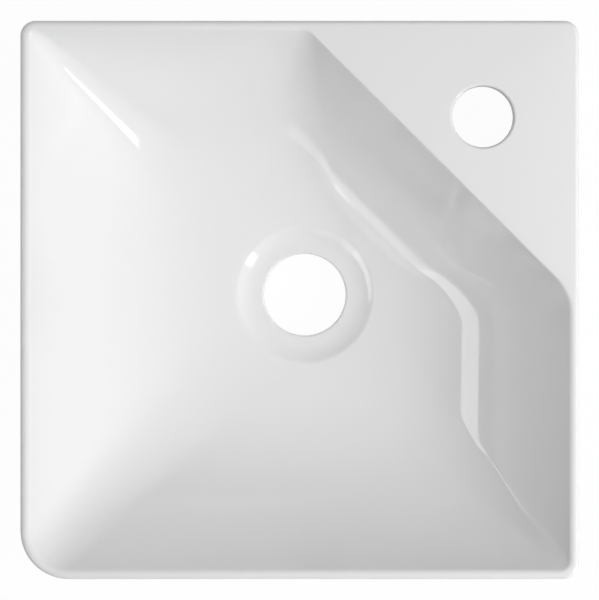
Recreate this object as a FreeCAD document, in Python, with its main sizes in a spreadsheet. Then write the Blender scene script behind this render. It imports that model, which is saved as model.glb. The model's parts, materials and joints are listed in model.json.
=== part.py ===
"""Corner hand basin: one glazed ceramic casting hung on two concealed steel wall hangers.

The square basin fits a room's corner. Its right (+X) and left (+Y) wall sides stand against
the two walls, and its -X and -Y sides are free. Right and left are those of a person who
faces the corner. A triangular tap deck fills the wall corner, level with the rim, and the
bowl falls from the thin rim and from the deck's diagonal edge to a round waste recess.

The form that takes the most skill is the moulded casting: one thin wall between two lofted
surfaces, each drawn through level outlines of five straight sides and five arcs, whose
corners soften on the way down to the waste. The levels lie close enough for the straight
run from one to the next to stay within 0.1 mm of the true curve.

Units are millimetres. The origin is under the middle of the square, on the base plane.
"""

import FreeCAD, Part
import math
import os
import re

import Sketcher

SIZES = {
    # plan and height of the casting
    "basin_width": 300.0,
    "basin_height": 100.0,
    "side_corner_radius": 8.0,
    "front_corner_radius": 26.0,
    "wall_corner_radius": 7.5,
    # rim and tap deck
    "deck_thickness": 10.0,
    "rim_inset": 5.5,
    "rim_round": 3.8,
    "mouth_round": 2.0,
    "deck_depth": 106.13,
    "tap_hole_diameter": 33.0,
    "tap_hole_from_wall": 51.5,
    "tap_hole_chamfer": 2.0,
    # bowl: a share of its depth falls evenly towards the waste, the rest as a power of the way in
    "even_fall": 0.12,
    "side_curve": 3.0,
    "deck_curve": 2.5,
    "mouth_side_radius": 5.0,
    "mouth_front_radius": 21.0,
    "mouth_deck_radius": 30.0,
    "skin_outset": 5.5,
    "skin_drop": 10.0,
    "skin_wall_inset": 1.5,
    # waste
    "waste_offset": 3.0,
    "waste_hole_diameter": 46.0,
    "waste_hole_chamfer": 1.2,
    "seat_thickness": 20.0,
    "recess_radius": 38.0,
    "recess_depth": 3.5,
    "recess_flank": 6.0,
    "recess_lap": 2.0,
    "boss_radius": 36.0,
    # wall flanges
    "flange_thickness": 9.0,
    "flange_foot_reach": 20.0,
    # concealed steel hangers
    "hanger_from_corner": 80.0,
    "hanger_width": 50.0,
    "hanger_foot_rise": 33.0,
    "hanger_gauge": 2.5,
    "bend_radius": 1.5,
    "tongue_width": 30.0,
    "lip_height": 10.0,
    "plate_corner_radius": 5.0,
    "screw_hole_diameter": 5.5,
    "screw_head_diameter": 8.5,
    "screw_spacing": 32.0,
    "screw_from_foot": 12.0,
    "lintel_height": 20.0,
    "window_height": 18.0,
    "window_side_gap": 3.0,
    "plate_gap": 0.5,
    # nylon pads between hanger and lintel
    "pad_sole": 2.0,
    "pad_face": 1.5,
    # nylon sleeves of the lower anchor holes
    "sleeve_diameter": 12.0,
    "sleeve_bore": 7.0,
    "sleeve_head_diameter": 18.0,
    "sleeve_head_thickness": 2.0,
    "sleeve_gap": 0.05,
    "sleeve_end_gap": 0.3,
    "sleeve_rise": 17.0,
}
# Spaces between the level outlines of the bowl and of its skin.
BOWL_STEPS = 16
# Each side of a bowl outline: the direction that it faces, in degrees from +X.
RIGHT, DECK, BACK, LEFT, FRONT = 0.0, 45.0, 90.0, 180.0, 270.0

doc = FreeCAD.newDocument("corner_basin")
sheet = doc.addObject("Spreadsheet::Sheet", "sizes")
for row, (alias, value) in enumerate(SIZES.items(), start=1):
    sheet.set(f"A{row}", alias)
    sheet.set(f"B{row}", str(value))
    sheet.setAlias(f"B{row}", alias)
doc.recompute()


def size(expression):
    """Work out an expression over the sheet's aliases as a number."""
    value = sheet.evalExpression(expression)
    return float(getattr(value, "Value", value))


def bound(expression):
    """Write an expression over aliases in the form that other objects hold."""
    return re.sub("[a-z_]+", lambda word: cell(word[0]) if word[0] in SIZES else word[0], expression)


def cell(alias):
    """Name a sheet's cell in the form that other objects hold."""
    return f"<<sizes>>.{alias}"


def new_body(name):
    body = doc.addObject("PartDesign::Body", name)
    body.Label = name
    return body


def origin_plane(body, role):
    return next(item for item in body.Origin.OriginFeatures if item.Role == role)


def new_sketch(body, name, role, offset=("0", "0", "0")):
    """Attach a sketch to an origin plane of its own body, moved by three expressions."""
    sketch = body.newObject("Sketcher::SketchObject", name)
    sketch.AttachmentSupport = [(origin_plane(body, role), "")]
    sketch.MapMode = "FlatFace"
    for axis, expression in zip("xyz", offset):
        if expression != "0":
            sketch.setExpression(f".AttachmentOffset.Base.{axis}", bound(expression))
    return sketch


def drive(sketch, kind, expression, *where):
    """Add a dimension whose value follows the sheet."""
    value = abs(size(expression))
    index = sketch.addConstraint(Sketcher.Constraint(kind, *where, value))
    sketch.setExpression(f"Constraints[{index}]", bound(expression))


def side_corner(side, neighbour):
    """Find where two sides, each a facing angle and a distance, would meet."""
    first, second = math.radians(side[0]), math.radians(neighbour[0])
    spread = math.sin(second - first)
    x = (side[1] * math.sin(second) - neighbour[1] * math.sin(first)) / spread
    y = (neighbour[1] * math.cos(first) - side[1] * math.cos(second)) / spread
    return FreeCAD.Vector(x, y, 0)


def rounded_outline(sketch, sides, radii):
    """Draw straight sides, each a facing angle and a distance, joined by tangent arcs.

    Distances and radii are expressions, and a radius rounds its side and the next one.
    """
    count = len(sides)
    spans = [(angle, size(distance)) for angle, distance in sides]
    arcs = []
    for index in range(count):
        span, following = spans[index], spans[(index + 1) % count]
        radius = size(radii[index])
        turn = math.radians((following[0] - span[0]) % 360.0)
        facing = math.radians(span[0])
        along = FreeCAD.Vector(-math.sin(facing), math.cos(facing), 0)
        outward = FreeCAD.Vector(math.cos(facing), math.sin(facing), 0)
        start = side_corner(span, following) - along * (radius * math.tan(turn / 2))
        circle = Part.Circle(start - outward * radius, FreeCAD.Vector(0, 0, 1), radius)
        arcs.append(Part.ArcOfCircle(circle, facing, facing + turn))
    for index, (angle, _) in enumerate(spans):
        line = Part.LineSegment(arcs[index - 1].EndPoint, arcs[index].StartPoint)
        sketch.addGeometry(line, False)
        sketch.addGeometry(arcs[index], False)
    for index, (angle, distance) in enumerate(sides):
        line, arc = 2 * index, 2 * index + 1
        after = (arc + 1) % (2 * count)
        sketch.addConstraint(Sketcher.Constraint("Tangent", line, 2, arc, 1))
        sketch.addConstraint(Sketcher.Constraint("Tangent", arc, 2, after, 1))
        if angle in (RIGHT, LEFT):
            sketch.addConstraint(Sketcher.Constraint("Vertical", line))
        elif angle in (BACK, FRONT):
            sketch.addConstraint(Sketcher.Constraint("Horizontal", line))
        else:
            slant = math.radians(angle + 90.0)
            sketch.addConstraint(Sketcher.Constraint("Angle", line, slant))
        drive(sketch, "Distance", distance, -1, 1, line)
        drive(sketch, "Radius", radii[index], arc)


def closed_chain(sketch, points):
    """Draw straight lines through points and close the loop; the corners are coincident."""
    first = sketch.GeometryCount
    for start, end in zip(points, points[1:] + points[:1]):
        sketch.addGeometry(Part.LineSegment(FreeCAD.Vector(*start, 0), FreeCAD.Vector(*end, 0)), False)
    count = len(points)
    for index in range(count):
        line, after = first + index, first + (index + 1) % count
        sketch.addConstraint(Sketcher.Constraint("Coincident", line, 2, after, 1))
        start, end = points[index], points[(index + 1) % count]
        if abs(start[1] - end[1]) < 1e-9:
            sketch.addConstraint(Sketcher.Constraint("Horizontal", line))
        elif abs(start[0] - end[0]) < 1e-9:
            sketch.addConstraint(Sketcher.Constraint("Vertical", line))
    return first


def rectangle(sketch, left, right, bottom, top):
    """Draw a rectangle whose four sides are expressions from the sketch's origin."""
    x0, x1, y0, y1 = (size(edge) for edge in (left, right, bottom, top))
    first = closed_chain(sketch, [(x0, y0), (x1, y0), (x1, y1), (x0, y1)])
    for expression, kind, corner in (
        (left, "DistanceX", 0),
        (bottom, "DistanceY", 0),
        (right, "DistanceX", 2),
        (top, "DistanceY", 2),
    ):
        offset_from_origin(sketch, kind, expression, first + corner, 1)


def offset_from_origin(sketch, kind, expression, geometry, point):
    """Hold a point at a signed distance from the sketch's origin along one axis."""
    value = size(expression)
    index = sketch.addConstraint(Sketcher.Constraint(kind, -1, 1, geometry, point, value))
    sketch.setExpression(f"Constraints[{index}]", bound(expression))


def circle(sketch, x, y, diameter):
    """Draw a circle with its centre and diameter as expressions."""
    centre = FreeCAD.Vector(size(x), size(y), 0)
    index = sketch.addGeometry(Part.Circle(centre, FreeCAD.Vector(0, 0, 1), size(diameter) / 2), False)
    for kind, expression in (("DistanceX", x), ("DistanceY", y)):
        offset_from_origin(sketch, kind, expression, index, 3)
    drive(sketch, "Diameter", diameter, index)


def extrude(body, kind, name, sketch, length, backwards=False):
    """Pad or pocket a sketch by an expression, and check that it changed the body."""
    before = 0.0 if body.Shape.isNull() else body.Shape.Volume
    feature = body.newObject(f"PartDesign::{kind}", name)
    feature.Profile = sketch
    feature.Reversed = backwards
    feature.setExpression("Length", bound(length))
    doc.recompute()
    assert abs(body.Shape.Volume - before) > 1.0, f"{name} changes nothing"


def turn(body, kind, name, sketch, axis):
    """Revolve a sketch fully about one of its axes, and check that it changed the body."""
    before = 0.0 if body.Shape.isNull() else body.Shape.Volume
    feature = body.newObject(f"PartDesign::{kind}", name)
    feature.Profile = sketch
    feature.ReferenceAxis = (sketch, [axis])
    feature.Angle = 360.0
    doc.recompute()
    assert abs(body.Shape.Volume - before) > 1.0, f"{name} changes nothing"


def level_face(shape, height):
    """Find the largest flat face that lies level at a height."""
    flat = [face for face in shape.Faces if face.BoundBox.ZLength < 1e-6]
    return max((face for face in flat if abs(face.BoundBox.ZMax - height) < 1e-6), key=lambda face: face.Area)


def loop_length(wire):
    return wire.Length


def blend_edges(body, kind, name, reach, loop):
    """Round or chamfer some of the body's edges by an expression's radius or width."""
    base, shape = body.Tip, body.Shape
    names = []
    for wanted in loop.Edges:
        names += [f"Edge{n}" for n, edge in enumerate(shape.Edges, start=1) if edge.isSame(wanted)]
    feature = body.newObject(f"PartDesign::{kind}", name)
    feature.Base = (base, names)
    feature.setExpression("Radius" if kind == "Fillet" else "Size", bound(reach))
    doc.recompute()


HALF = "basin_width / 2"
BOWL_FOOT = "(seat_thickness + recess_depth)"
BOWL_DEPTH = f"(basin_height - {BOWL_FOOT})"
DECK_EDGE = f"({HALF} * sqrt(2) - deck_depth)"
FLOOR_RADIUS = "(recess_radius - recess_lap)"
TAP_PLACE = f"({HALF} - tap_hole_from_wall)"
HANGER_PLACE = f"({HALF} - hanger_from_corner)"
TONGUE_TOP = "(basin_height - deck_thickness - lintel_height - pad_sole)"
LIP_FACE = f"({HALF} - flange_thickness - pad_face)"


def plan_outline(sketch):
    """Draw the casting's plan: a square with its own radius at each kind of corner."""
    sides = [(RIGHT, HALF), (BACK, HALF), (LEFT, HALF), (FRONT, HALF)]
    radii = ["wall_corner_radius", "side_corner_radius", "front_corner_radius", "side_corner_radius"]
    rounded_outline(sketch, sides, radii)


def around_plan(sketch):
    """Draw a square frame whose inside edge is the casting's plan."""
    plan_outline(sketch)
    margin = f"{HALF} + front_corner_radius"
    rectangle(sketch, f"-({margin})", margin, f"-({margin})", margin)


def level_outline(sketch, remaining, outset, wall_inset, mouth_radii):
    """Draw one level outline of the bowl, or of the skin around it, about the waste axis.

    `remaining` is the share of the way from the mouth to the waste recess that is left: 1 at
    the mouth and 0 at the recess. `outset` moves every side out, and `wall_inset` moves the
    mouth in at the two wall sides. `mouth_radii` are those of the mouth's corners at the deck,
    at the other walls' ends and at the front.
    """
    def distance(mouth, share):
        return f"{FLOOR_RADIUS} + (({mouth}) - {FLOOR_RADIUS}) * {share} + {outset}"

    def radius(mouth):
        floor = f"({FLOOR_RADIUS} - recess_lap + {outset})"
        return f"({mouth}) * {remaining} + {floor} * (1 - {remaining})"

    near = f"{HALF} - rim_inset - waste_offset - {wall_inset}"
    far = f"{HALF} - rim_inset + waste_offset"
    deck = f"{DECK_EDGE} - waste_offset * sqrt(2)"
    deck_share = f"{remaining} ^ (side_curve / deck_curve)"
    sides = [
        (RIGHT, distance(near, remaining)),
        (DECK, distance(deck, deck_share)),
        (BACK, distance(near, remaining)),
        (LEFT, distance(far, remaining)),
        (FRONT, distance(far, remaining)),
    ]
    deck_radius, side_radius, front_radius = (radius(mouth) for mouth in mouth_radii)
    rounded_outline(sketch, sides, [deck_radius, deck_radius, side_radius, front_radius, side_radius])


def loft_levels(body, kind, name, drop, outset, wall_inset, mouth_radii):
    """Loft through level outlines whose height falls ever more gently towards the waste."""
    levels = []
    for step in range(BOWL_STEPS + 1):
        remaining = f"({BOWL_STEPS - step} / {BOWL_STEPS})"
        fall = f"(even_fall * {remaining} + (1 - even_fall) * {remaining} ^ side_curve)"
        height = f"{BOWL_FOOT} - {drop} + {BOWL_DEPTH} * {fall}"
        place = ("waste_offset", "waste_offset", height)
        sketch = new_sketch(body, f"{name}_level_{step}", "XY_Plane", place)
        level_outline(sketch, remaining, outset, wall_inset, mouth_radii)
        levels.append(sketch)
    feature = body.newObject(f"PartDesign::{kind}", name)
    feature.Profile = levels[0]
    feature.Sections = levels[1:]
    feature.Ruled = True
    doc.recompute()


def flange_outline(sketch):
    """Draw a wall flange: upright at the room's corner, its foot swept up to the free end."""
    half, foot = size(HALF), size("flange_foot_reach")
    top = size("basin_height - rim_round")
    shoulder = size("basin_height - deck_thickness")
    reach = half - foot
    radius = (reach ** 2 + shoulder ** 2) / (2 * shoulder)
    corners = [(-foot, 0), (half, 0), (half, top), (-half, top), (-half, shoulder)]
    points = [FreeCAD.Vector(x, y, 0) for x, y in corners]
    for start, end in zip(points, points[1:]):
        sketch.addGeometry(Part.LineSegment(start, end), False)
    sweep = Part.Circle(FreeCAD.Vector(-foot, radius, 0), FreeCAD.Vector(0, 0, 1), radius)
    down = -math.pi / 2
    sketch.addGeometry(Part.ArcOfCircle(sweep, down - math.asin(reach / radius), down), False)
    for line, kind in enumerate(("Horizontal", "Vertical", "Horizontal", "Vertical")):
        sketch.addConstraint(Sketcher.Constraint(kind, line))
    for line in range(3):
        sketch.addConstraint(Sketcher.Constraint("Coincident", line, 2, line + 1, 1))
    sketch.addConstraint(Sketcher.Constraint("Coincident", 3, 2, 4, 1))
    sketch.addConstraint(Sketcher.Constraint("Tangent", 4, 2, 0, 1))
    sketch.addConstraint(Sketcher.Constraint("PointOnObject", 0, 1, -1))
    offset_from_origin(sketch, "DistanceX", "-flange_foot_reach", 0, 1)
    offset_from_origin(sketch, "DistanceX", HALF, 1, 2)
    offset_from_origin(sketch, "DistanceY", "basin_height - rim_round", 1, 2)
    offset_from_origin(sketch, "DistanceX", f"-{HALF}", 3, 2)
    offset_from_origin(sketch, "DistanceY", "basin_height - deck_thickness", 3, 2)


def cut_wall_openings(body, side, role, wall, inwards):
    """Cut a flange's plate recess, hook window and anchor hole from its wall face."""
    plate = "(hanger_width / 2 + plate_gap)"
    lintel = f"{TONGUE_TOP} + pad_sole"
    foot = "hanger_foot_rise - plate_gap"
    sketch = new_sketch(body, f"{side}_recess_plan", role, ("0", "0", wall))
    rectangle(sketch, f"{HANGER_PLACE} - {plate}", f"{HANGER_PLACE} + {plate}", foot, lintel)
    extrude(body, "Pocket", f"{side}_recess", sketch, "hanger_gauge + plate_gap", inwards)

    window = "(tongue_width / 2 + window_side_gap)"
    sill = f"{lintel} - window_height"
    sketch = new_sketch(body, f"{side}_window_plan", role, ("0", "0", wall))
    rectangle(sketch, f"{HANGER_PLACE} - {window}", f"{HANGER_PLACE} + {window}", sill, lintel)
    extrude(body, "Pocket", f"{side}_window", sketch, "flange_thickness", inwards)

    sketch = new_sketch(body, f"{side}_anchor_plan", role, ("0", "0", wall))
    circle(sketch, HANGER_PLACE, "sleeve_rise", "sleeve_diameter + 2 * sleeve_gap")
    extrude(body, "Pocket", f"{side}_anchor", sketch, "flange_thickness", inwards)


def cut_waste_recess(body):
    """Sink the waste's seat: a level ring with a sloping flank up to the bowl's foot."""
    sketch = new_sketch(body, "recess_profile", "XZ_Plane", ("waste_offset", "0", "-waste_offset"))
    brow = f"{BOWL_FOOT} + recess_depth"
    corners = [
        ("0", "seat_thickness"),
        ("recess_radius - recess_flank", "seat_thickness"),
        ("recess_radius + recess_flank", brow),
        ("0", brow),
    ]
    points = [(size(across), size(up)) for across, up in corners]
    closed_chain(sketch, points)
    for index, (across, up) in enumerate(corners[:3]):
        offset_from_origin(sketch, "DistanceX", across, index, 1)
        if index != 1:
            offset_from_origin(sketch, "DistanceY", up, index, 1)
    turn(body, "Groove", "recess", sketch, "V_Axis")


def make_casting():
    """Build the ceramic casting: deck and rim, wall flanges, thin bowl, waste seat, holes."""
    body = new_body("ceramic_basin")

    sketch = new_sketch(body, "deck_plan", "XY_Plane", ("0", "0", "basin_height"))
    plan_outline(sketch)
    extrude(body, "Pad", "deck", sketch, "deck_thickness", backwards=True)
    top, seat = size("basin_height"), size("seat_thickness")
    blend_edges(body, "Fillet", "rim_edge", "rim_round", level_face(body.Shape, top).OuterWire)

    sketch = new_sketch(body, "right_flange_plan", "YZ_Plane", ("0", "0", HALF))
    flange_outline(sketch)
    extrude(body, "Pad", "right_flange", sketch, "flange_thickness", backwards=True)
    sketch = new_sketch(body, "left_flange_plan", "XZ_Plane", ("0", "0", f"-{HALF}"))
    flange_outline(sketch)
    extrude(body, "Pad", "left_flange", sketch, "flange_thickness")
    sketch = new_sketch(body, "corner_trim_plan", "XY_Plane")
    around_plan(sketch)
    extrude(body, "Pocket", "corner_trim", sketch, "basin_height", backwards=True)

    skin_radii = ("mouth_deck_radius + skin_outset", "side_corner_radius", "front_corner_radius")
    loft_levels(body, "AdditiveLoft", "skin", "skin_drop", "skin_outset", "skin_wall_inset", skin_radii)

    sketch = new_sketch(body, "boss_plan", "XY_Plane")
    circle(sketch, "waste_offset", "waste_offset", "2 * boss_radius")
    extrude(body, "Pad", "boss", sketch, BOWL_FOOT)

    bowl_radii = ("mouth_deck_radius", "mouth_side_radius", "mouth_front_radius")
    loft_levels(body, "SubtractiveLoft", "bowl", "0", "0", "0", bowl_radii)

    cut_waste_recess(body)
    sketch = new_sketch(body, "waste_hole_plan", "XY_Plane")
    circle(sketch, "waste_offset", "waste_offset", "waste_hole_diameter")
    extrude(body, "Pocket", "waste_hole", sketch, "basin_height", backwards=True)
    sketch = new_sketch(body, "tap_hole_plan", "XY_Plane", ("0", "0", "basin_height"))
    circle(sketch, TAP_PLACE, TAP_PLACE, "tap_hole_diameter")
    extrude(body, "Pocket", "tap_hole", sketch, "deck_thickness")

    cut_wall_openings(body, "right", "YZ_Plane", HALF, inwards=False)
    cut_wall_openings(body, "left", "XZ_Plane", f"-{HALF}", inwards=True)

    edges = (
        ("Fillet", "mouth_edge", "mouth_round", top, 1),
        ("Chamfer", "tap_edge", "tap_hole_chamfer", top, 2),
        ("Chamfer", "waste_edge", "waste_hole_chamfer", seat, 1),
    )
    for kind, name, reach, height, place in edges:
        loops = sorted(level_face(body.Shape, height).Wires, key=loop_length, reverse=True)
        blend_edges(body, kind, name, reach, loops[place])
    return body


def corner_edges(shape, across, up):
    """List the edges that run along Y through a place in X and Z."""
    found = []
    for edge in shape.Edges:
        box = edge.BoundBox
        if max(abs(box.XMin - across), abs(box.XMax - across), abs(box.ZMin - up), abs(box.ZMax - up)) < 1e-6:
            found.append(edge)
    return Part.Compound(found)


def chain_sketch(sketch, corners):
    """Draw a closed outline of level and upright lines through corners given as expressions."""
    places = [(size(across), size(up)) for across, up in corners]
    first = closed_chain(sketch, places)
    for index, (across, up) in enumerate(corners):
        level = abs(places[index][1] - places[index - 1][1]) < 1e-9
        if level:
            offset_from_origin(sketch, "DistanceX", across, first + index, 1)
        else:
            offset_from_origin(sketch, "DistanceY", up, first + index, 1)


def make_wall_hanger():
    """Bend a steel strip into a hook: wall plate, tongue through the window, upturned lip."""
    body = new_body("right_wall_hanger")
    plate, lip = f"{HALF} - hanger_gauge", f"{LIP_FACE} - hanger_gauge"
    tongue, foot = f"{TONGUE_TOP} - hanger_gauge", "hanger_foot_rise"
    tip = f"{TONGUE_TOP} + lip_height"
    side = f"-({HANGER_PLACE} + tongue_width / 2)"
    sketch = new_sketch(body, "strip_profile", "XZ_Plane", ("0", "0", side))
    corners = [
        (HALF, foot),
        (HALF, TONGUE_TOP),
        (LIP_FACE, TONGUE_TOP),
        (LIP_FACE, tip),
        (lip, tip),
        (lip, tongue),
        (plate, tongue),
        (plate, foot),
    ]
    chain_sketch(sketch, corners)
    extrude(body, "Pad", "strip", sketch, "tongue_width")
    for name, radius, across, up in (
        ("wall_bend", "bend_radius + hanger_gauge", HALF, TONGUE_TOP),
        ("wall_bend_inside", "bend_radius", plate, tongue),
        ("lip_bend", "bend_radius + hanger_gauge", lip, tongue),
        ("lip_bend_inside", "bend_radius", LIP_FACE, TONGUE_TOP),
    ):
        blend_edges(body, "Fillet", name, radius, corner_edges(body.Shape, size(across), size(up)))

    shoulder = f"({TONGUE_TOP} - hanger_gauge - bend_radius)"
    middle = f"({shoulder} + {foot}) / 2"
    sketch = new_sketch(body, "plate_plan", "YZ_Plane", (HANGER_PLACE, middle, HALF))
    half_width, half_height = "hanger_width / 2", f"({shoulder} - {foot}) / 2"
    sides = [(RIGHT, half_width), (BACK, half_height), (LEFT, half_width), (FRONT, half_height)]
    rounded_outline(sketch, sides, ["plate_corner_radius"] * 4)
    extrude(body, "Pad", "plate", sketch, "hanger_gauge", backwards=True)

    sketch = new_sketch(body, "screw_plan", "YZ_Plane", ("0", "0", plate))
    for sign in ("-", "+"):
        across = f"{HANGER_PLACE} {sign} screw_spacing / 2"
        circle(sketch, across, f"{foot} + screw_from_foot", "screw_hole_diameter")
    doc.recompute()
    hole = body.newObject("PartDesign::Hole", "screw_holes")
    hole.Profile = sketch
    hole.Reversed = True
    hole.DepthType = "ThroughAll"
    hole.HoleCutType = "Countersink"
    hole.HoleCutCustomValues = True
    hole.HoleCutCountersinkAngle = 90.0
    hole.setExpression("Diameter", bound("screw_hole_diameter"))
    hole.setExpression("HoleCutDiameter", bound("screw_head_diameter"))
    doc.recompute()
    return body


def make_hook_pad():
    """Mould an L-shaped pad that keeps the steel tongue and lip off the glazed lintel."""
    body = new_body("right_hook_pad")
    side = f"-({HANGER_PLACE} + tongue_width / 2)"
    sketch = new_sketch(body, "pad_profile", "XZ_Plane", ("0", "0", side))
    heel = f"{HALF} - hanger_gauge - bend_radius"
    face, sole = f"{LIP_FACE} + pad_face", f"{TONGUE_TOP} + pad_sole"
    tip = f"{TONGUE_TOP} + lip_height"
    corners = [
        (LIP_FACE, TONGUE_TOP),
        (heel, TONGUE_TOP),
        (heel, sole),
        (face, sole),
        (face, tip),
        (LIP_FACE, tip),
    ]
    chain_sketch(sketch, corners)
    extrude(body, "Pad", "pad", sketch, "tongue_width")
    bend = corner_edges(body.Shape, size(LIP_FACE), size(TONGUE_TOP))
    blend_edges(body, "Fillet", "pad_bend", "bend_radius", bend)
    return body


def make_anchor_sleeve():
    """Turn a flanged sleeve that keeps a lower anchor screw off the ceramic."""
    body = new_body("right_anchor_sleeve")
    sketch = new_sketch(body, "sleeve_profile", "XY_Plane", ("0", HANGER_PLACE, "sleeve_rise"))
    inside, end = f"{HALF} - flange_thickness", f"{HALF} - sleeve_end_gap"
    head = f"{inside} - sleeve_head_thickness"
    corners = [
        (head, "sleeve_bore / 2"),
        (end, "sleeve_bore / 2"),
        (end, "sleeve_diameter / 2"),
        (inside, "sleeve_diameter / 2"),
        (inside, "sleeve_head_diameter / 2"),
        (head, "sleeve_head_diameter / 2"),
    ]
    chain_sketch(sketch, corners)
    turn(body, "Revolution", "turned", sketch, "H_Axis")
    return body


def mirrored(piece, name):
    """Copy a right-hand piece to the left wall, across the basin's diagonal."""
    copy = doc.addObject("Part::Mirroring", name)
    copy.Label = name
    copy.Source = piece
    copy.Normal = FreeCAD.Vector(1, -1, 0)
    return copy


def main():
    right = [make_wall_hanger(), make_hook_pad(), make_anchor_sleeve()]
    left = [mirrored(piece, piece.Label.replace("right", "left")) for piece in right]
    pieces = [make_casting()] + right + left
    doc.recompute()
    failed = [item.Label for item in doc.Objects if {"Invalid", "Error"} & set(item.State)]
    assert not failed, f"failed: {failed}"
    os.makedirs("parts", exist_ok=True)
    for piece in pieces:
        shape = piece.Shape
        assert not shape.isNull() and shape.isValid(), f"{piece.Label} is not sound"
        assert len(shape.Solids) == 1, f"{piece.Label} has {len(shape.Solids)} solids"
        shape.exportStep(f"parts/{piece.Label}.step")
        print(f"{piece.Label}: {shape.Volume / 1000:.1f} cm3, {len(shape.Faces)} faces")


main()
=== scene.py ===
# %% [markdown]
# # A corner hand basin, dressed
# The real object is one white glazed ceramic casting that hangs on two hidden steel hooks in a
# room's corner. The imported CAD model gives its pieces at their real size. This lesson keeps the
# hooks, pads and sleeves as they are, and grows a finer skin for the casting, because a glossy
# glaze shows every flat facet as a broken reflection.

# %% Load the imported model
import json
import math

import bmesh
import bpy
from mathutils import Matrix, Quaternion, Vector

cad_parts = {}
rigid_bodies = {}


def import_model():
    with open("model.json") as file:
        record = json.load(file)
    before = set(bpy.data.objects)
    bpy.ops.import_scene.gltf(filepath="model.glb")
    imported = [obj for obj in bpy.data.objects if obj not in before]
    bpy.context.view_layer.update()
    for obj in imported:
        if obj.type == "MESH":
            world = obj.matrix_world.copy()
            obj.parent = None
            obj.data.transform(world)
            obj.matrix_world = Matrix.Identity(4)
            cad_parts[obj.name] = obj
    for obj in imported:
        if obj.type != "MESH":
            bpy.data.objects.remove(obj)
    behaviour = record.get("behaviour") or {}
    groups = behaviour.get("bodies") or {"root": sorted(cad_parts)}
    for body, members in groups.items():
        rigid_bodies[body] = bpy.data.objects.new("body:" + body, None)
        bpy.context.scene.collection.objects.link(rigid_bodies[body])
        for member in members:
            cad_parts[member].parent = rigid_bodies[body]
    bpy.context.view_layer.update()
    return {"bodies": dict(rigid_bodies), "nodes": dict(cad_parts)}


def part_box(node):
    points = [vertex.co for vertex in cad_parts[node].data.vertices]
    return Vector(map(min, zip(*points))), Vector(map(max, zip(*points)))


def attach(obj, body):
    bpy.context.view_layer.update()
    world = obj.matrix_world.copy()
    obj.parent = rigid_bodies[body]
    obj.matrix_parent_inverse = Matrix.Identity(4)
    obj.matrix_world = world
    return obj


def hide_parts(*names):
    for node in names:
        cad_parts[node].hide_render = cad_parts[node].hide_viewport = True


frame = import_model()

print("nodes:", sorted(frame["nodes"]))

# %% [markdown]
# ## Sizes
# Everything is in metres, in the CAD model's frame: the walls are at +X and +Y, and the bowl
# opens upwards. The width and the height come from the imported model, so the skin can't drift
# away from it. The other sizes are the casting's own, which a potter would read off the master
# mould. Each gets its name in the step that first needs it.

# %% Half width and top
MM = 0.001
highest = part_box("ceramic_basin")[1]
HALF = highest.x
TOP = highest.z
print("half width", round(HALF, 4), "top", round(TOP, 4))

# %% [markdown]
# ## Stretches and bends
# Seen from above, each level of the casting is a few straight stretches joined by arcs. They
# could be curve objects, but then nothing would say which point belongs to which. Two helpers
# place a fixed number of points along a stretch and along a bend instead, so that two outlines
# can be joined by a plain band of faces. Both leave out their last point, because the next
# stretch starts there.

# %% Places along a stretch and along a bend
SIDE_STEPS = 32
CORNER_STEPS = 16
QUARTER = math.pi / 2


def span(begin, end, steps):
    """Places along a straight stretch, without its last point."""
    return [begin.lerp(end, step / steps) for step in range(steps)]


def bend(centre, radius, facing, turn, steps):
    """Places along an arc, without its last point."""
    angles = [facing + turn * step / steps for step in range(steps)]
    return [centre + radius * Vector((math.cos(angle), math.sin(angle))) for angle in angles]


print("places on a side and its corner:", SIDE_STEPS + CORNER_STEPS)

# %% [markdown]
# ## The bowl's outline
# The bowl has five sides, and the second one is the tap deck's diagonal. A side is given by the
# way it faces and its distance from the waste's axis. Two sides meet in a sharp tip, and an arc
# that touches both of them rounds it, which is how a template for the mould is drawn too. Each
# side may lie at its own height. Along a corner the height eases from one side's to the next.

# %% Walk round the bowl
FACINGS = [math.radians(angle) for angle in (0, 45, 90, 180, 270)]
SIDES = range(len(FACINGS))
DECK_SIDE = 1
WASTE_OFFSET = 3 * MM
WASTE_AXIS = Vector((WASTE_OFFSET, WASTE_OFFSET, 0))


def side_corner(facing, distance, next_facing, next_distance):
    """Find where two sides would meet if their corner were sharp."""
    spread = math.sin(next_facing - facing)
    x = distance * math.sin(next_facing) - next_distance * math.sin(facing)
    y = next_distance * math.cos(facing) - distance * math.cos(next_facing)
    return Vector((x, y)) / spread


def bowl_arc(side, distances, radius):
    """The arc that follows a side: where it begins, where it ends, and its places."""
    after = (side + 1) % len(FACINGS)
    facing, turn = FACINGS[side], (FACINGS[after] - FACINGS[side]) % math.tau
    tip = side_corner(facing, distances[side], FACINGS[after], distances[after])
    along = Vector((-math.sin(facing), math.cos(facing)))
    outward = Vector((math.cos(facing), math.sin(facing)))
    centre = tip - along * radius * math.tan(turn / 2) - outward * radius
    begin = centre + radius * outward
    end = centre + radius * Vector((math.cos(facing + turn), math.sin(facing + turn)))
    return begin, end, bend(centre, radius, facing, turn, CORNER_STEPS)


def bowl_outline(distances, radii, heights):
    """Walk round the five sides; heights gives each side's own."""
    arcs = [bowl_arc(side, distances, radii[side]) for side in SIDES]
    places = []
    for side in SIDES:
        rise = heights[(side + 1) % len(FACINGS)] - heights[side]
        for place in span(arcs[side - 1][1], arcs[side][0], SIDE_STEPS):
            places.append(Vector((place.x, place.y, heights[side])))
        for step, place in enumerate(arcs[side][2]):
            share = 0.5 - 0.5 * math.cos(math.pi * step / CORNER_STEPS)
            places.append(Vector((place.x, place.y, heights[side] + rise * share)))
    return [place + WASTE_AXIS for place in places]


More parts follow.
